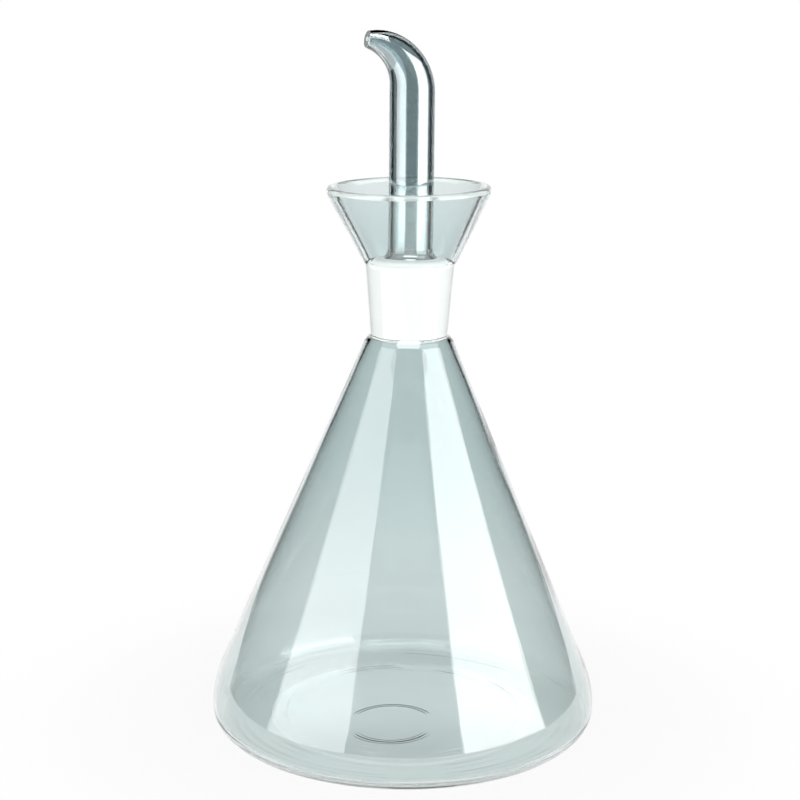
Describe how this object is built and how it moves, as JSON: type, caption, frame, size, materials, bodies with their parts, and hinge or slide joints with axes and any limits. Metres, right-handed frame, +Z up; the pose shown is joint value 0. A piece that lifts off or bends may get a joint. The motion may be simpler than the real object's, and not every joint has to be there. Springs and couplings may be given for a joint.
{
  "type": "oil cruet",
  "caption": "Empty conical glass oil cruet with a flat foot, a ground neck under a flared drip-catching funnel collar, and a hollow ground spout with a bent, tapering nozzle.",
  "frame": {"origin": "centre of the foot, on the surface that the cruet stands on", "axes": "+Z up along the bottle's axis; the spout's nozzle points along -X"},
  "size_m": [0.12, 0.12, 0.213],
  "materials": {
    "bottle_glass": "clear fire-polished glass, ground white inside the neck",
    "spout_glass": "clear fire-polished glass, ground white on the stopper's taper"
  },
  "bodies": {
    "root": {"bottle": "bottle_glass", "spout": "spout_glass"}
  },
  "joints": []
}
